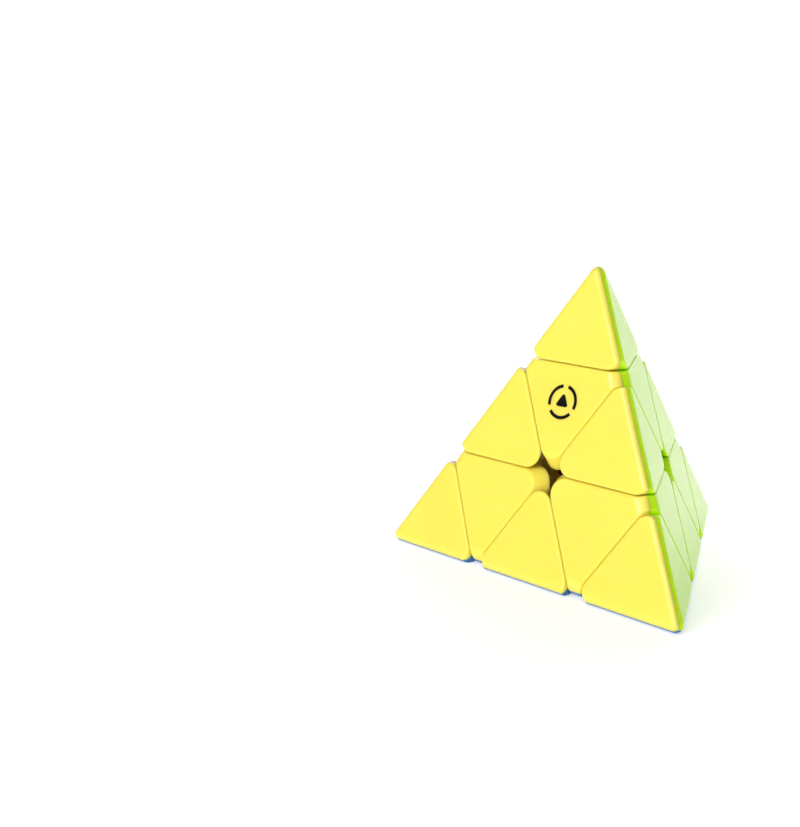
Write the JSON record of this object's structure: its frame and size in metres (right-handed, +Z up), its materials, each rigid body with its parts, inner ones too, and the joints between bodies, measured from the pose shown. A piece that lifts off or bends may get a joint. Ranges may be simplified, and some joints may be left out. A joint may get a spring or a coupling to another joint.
{
  "type": "pyramid twisty puzzle",
  "caption": "Stickerless pyramid-shaped twisty puzzle with turning layers and tips, magnets in its pieces, and a spring-tensioned core inside.",
  "frame": {"origin": "centre of the core, where the four turning axes meet; it is also the centre of the pyramid", "axes": "+Z up along the top corner's turning axis, -Y towards the viewer of the yellow face, +X to that viewer's right; the blue face rests on the ground"},
  "size_m": [0.0924, 0.0806, 0.0762],
  "materials": {
    "yellow_plastic": "satin gloss, moulded in colour",
    "green_plastic": "satin gloss, moulded in colour",
    "red_plastic": "satin gloss, moulded in colour",
    "blue_plastic": "satin gloss, moulded in colour",
    "black_plastic": "fine matte",
    "inner_plastic": "fine matte",
    "steel": "bright zinc plating",
    "magnet": "nickel plating"
  },
  "bodies": {
    "core": {"core": "inner_plastic", "axis_screws": "steel", "tension_springs": "steel", "spring_washers": "steel", "tension_nuts": "black_plastic"},
    "top_centre": {"top_centre_yellow_shell": "yellow_plastic", "top_centre_green_shell": "green_plastic", "top_centre_red_shell": "red_plastic", "top_centre_frame": "inner_plastic", "top_centre_magnets": "magnet"},
    "top_tip": {"top_tip_yellow_shell": "yellow_plastic", "top_tip_green_shell": "green_plastic", "top_tip_red_shell": "red_plastic", "top_tip_stem": "inner_plastic"},
    "left_centre": {"left_centre_yellow_shell": "yellow_plastic", "left_centre_red_shell": "red_plastic", "left_centre_blue_shell": "blue_plastic", "left_centre_frame": "inner_plastic", "left_centre_magnets": "magnet"},
    "left_tip": {"left_tip_yellow_shell": "yellow_plastic", "left_tip_red_shell": "red_plastic", "left_tip_blue_shell": "blue_plastic", "left_tip_stem": "inner_plastic"},
    "right_centre": {"right_centre_yellow_shell": "yellow_plastic", "right_centre_green_shell": "green_plastic", "right_centre_blue_shell": "blue_plastic", "right_centre_frame": "inner_plastic", "right_centre_magnets": "magnet"},
    "right_tip": {"right_tip_yellow_shell": "yellow_plastic", "right_tip_green_shell": "green_plastic", "right_tip_blue_shell": "blue_plastic", "right_tip_stem": "inner_plastic"},
    "back_centre": {"back_centre_green_shell": "green_plastic", "back_centre_red_shell": "red_plastic", "back_centre_blue_shell": "blue_plastic", "back_centre_frame": "inner_plastic", "back_centre_magnets": "magnet"},
    "back_tip": {"back_tip_green_shell": "green_plastic", "back_tip_red_shell": "red_plastic", "back_tip_blue_shell": "blue_plastic", "back_tip_stem": "inner_plastic"},
    "top_left_edge": {"top_left_edge_yellow_half": "yellow_plastic", "top_left_edge_red_half": "red_plastic", "top_left_edge_magnets": "magnet"},
    "top_right_edge": {"top_right_edge_yellow_half": "yellow_plastic", "top_right_edge_green_half": "green_plastic", "top_right_edge_magnets": "magnet"},
    "top_back_edge": {"top_back_edge_green_half": "green_plastic", "top_back_edge_red_half": "red_plastic", "top_back_edge_magnets": "magnet"},
    "left_right_edge": {"left_right_edge_yellow_half": "yellow_plastic", "left_right_edge_blue_half": "blue_plastic", "left_right_edge_magnets": "magnet"},
    "right_back_edge": {"right_back_edge_green_half": "green_plastic", "right_back_edge_blue_half": "blue_plastic", "right_back_edge_magnets": "magnet"},
    "back_left_edge": {"back_left_edge_red_half": "red_plastic", "back_left_edge_blue_half": "blue_plastic", "back_left_edge_magnets": "magnet"}
  },
  "joints": [
    {"name": "turn_top", "type": "hinge", "parent": "core", "child": "top_centre", "pos_m": [0, 0, 0], "axis": [0, 0, 1], "range_deg": [-120, 240]},
    {"name": "turn_left", "type": "hinge", "parent": "core", "child": "left_centre", "pos_m": [0, 0, 0], "axis": [-0.8165, -0.4714, -0.3333], "range_deg": [-120, 240]},
    {"name": "turn_right", "type": "hinge", "parent": "core", "child": "right_centre", "pos_m": [0, 0, 0], "axis": [0.8165, -0.4714, -0.3333], "range_deg": [-120, 240]},
    {"name": "turn_back", "type": "hinge", "parent": "core", "child": "back_centre", "pos_m": [0, 0, 0], "axis": [0, 0.9428, -0.3333], "range_deg": [-120, 240]},
    {"name": "top_left_edge_swing", "type": "hinge", "parent": "left_centre", "child": "top_left_edge", "pos_m": [0, 0, 0], "axis": [0, 0, 1], "range_deg": [-120, 240]},
    {"name": "top_right_edge_swing", "type": "hinge", "parent": "right_centre", "child": "top_right_edge", "pos_m": [0, 0, 0], "axis": [0, 0, 1], "range_deg": [-120, 240]},
    {"name": "top_back_edge_swing", "type": "hinge", "parent": "back_centre", "child": "top_back_edge", "pos_m": [0, 0, 0], "axis": [0, 0, 1], "range_deg": [-120, 240]},
    {"name": "left_right_edge_swing", "type": "hinge", "parent": "left_centre", "child": "left_right_edge", "pos_m": [0, 0, 0], "axis": [0.8165, -0.4714, -0.3333], "range_deg": [-120, 240]},
    {"name": "right_back_edge_swing", "type": "hinge", "parent": "right_centre", "child": "right_back_edge", "pos_m": [0, 0, 0], "axis": [0, 0.9428, -0.3333], "range_deg": [-120, 240]},
    {"name": "back_left_edge_swing", "type": "hinge", "parent": "back_centre", "child": "back_left_edge", "pos_m": [0, 0, 0], "axis": [-0.8165, -0.4714, -0.3333], "range_deg": [-120, 240]},
    {"name": "twist_top_tip", "type": "hinge", "parent": "top_centre", "child": "top_tip", "pos_m": [0, 0, 0], "axis": [0, 0, 1], "continuous": true},
    {"name": "twist_left_tip", "type": "hinge", "parent": "left_centre", "child": "left_tip", "pos_m": [0, 0, 0], "axis": [-0.8165, -0.4714, -0.3333], "continuous": true},
    {"name": "twist_right_tip", "type": "hinge", "parent": "right_centre", "child": "right_tip", "pos_m": [0, 0, 0], "axis": [0.8165, -0.4714, -0.3333], "continuous": true},
    {"name": "twist_back_tip", "type": "hinge", "parent": "back_centre", "child": "back_tip", "pos_m": [0, 0, 0], "axis": [0, 0.9428, -0.3333], "continuous": true}
  ],
  "couplings": [
    {"joint": "top_left_edge_swing", "follows": "turn_top", "ratio": 1},
    {"joint": "top_right_edge_swing", "follows": "turn_top", "ratio": 1},
    {"joint": "top_back_edge_swing", "follows": "turn_top", "ratio": 1},
    {"joint": "left_right_edge_swing", "follows": "turn_right", "ratio": 1},
    {"joint": "right_back_edge_swing", "follows": "turn_back", "ratio": 1},
    {"joint": "back_left_edge_swing", "follows": "turn_left", "ratio": 1}
  ]
}
